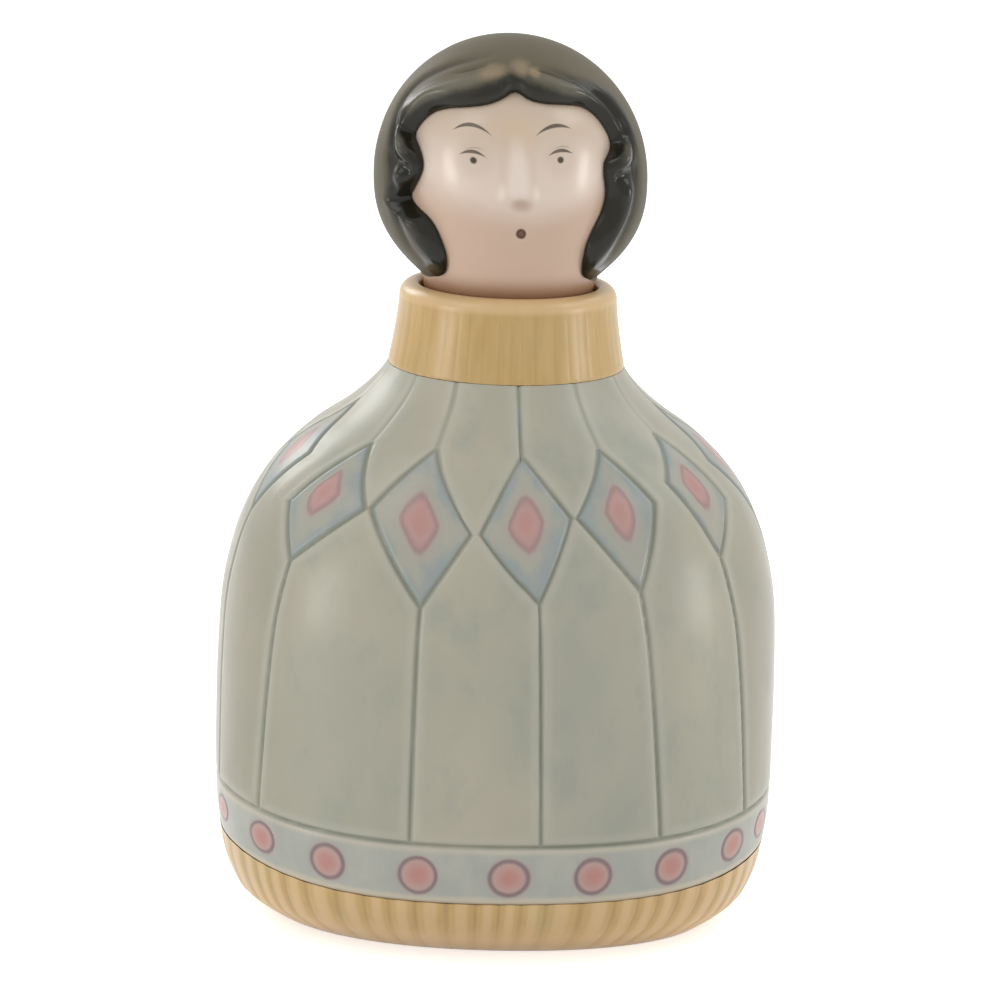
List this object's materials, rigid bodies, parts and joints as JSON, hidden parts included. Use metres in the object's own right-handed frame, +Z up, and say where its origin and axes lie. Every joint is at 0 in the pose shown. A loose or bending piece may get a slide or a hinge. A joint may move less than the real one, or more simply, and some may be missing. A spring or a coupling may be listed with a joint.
{
  "type": "figural stoneware bottle",
  "caption": "Oval stoneware bottle shaped as a figure in a patterned jumper; its head is a hollow stopper on a cork that lifts out of the ribbed collar.",
  "frame": {"origin": "on the standing surface, under the middle of the body", "axes": "+Z up through the neck, face towards -Y, broad sides of the oval body along X"},
  "size_m": [0.1322, 0.1078, 0.2087],
  "materials": {
    "celadon_glaze": "glossy grey-green glaze with blue-grey and pink painting",
    "amber_glaze": "glossy amber wash over pressed ribs",
    "blush_glaze": "glossy cream glaze with a pink blush",
    "dark_olive_glaze": "glossy dark olive glaze, thinner on the ridges",
    "bare_stoneware": "unglazed",
    "cork": "fine cork bark"
  },
  "bodies": {
    "bottle": {"body_shell": "celadon_glaze", "base_hem": "amber_glaze", "ribbed_collar": "amber_glaze"},
    "cork": {"cork_sleeve": "cork"},
    "head": {"stopper_spigot": "bare_stoneware", "head_shell": "blush_glaze", "hair_cap": "dark_olive_glaze"}
  },
  "joints": [
    {"name": "stopper_lift", "type": "slide", "parent": "bottle", "child": "cork", "axis": [0, 0, 1], "range_m": [0, 0.06]},
    {"name": "head_turn", "type": "hinge", "parent": "cork", "child": "head", "pos_m": [0, 0, 0.148], "axis": [0, 0, 1], "continuous": true}
  ]
}
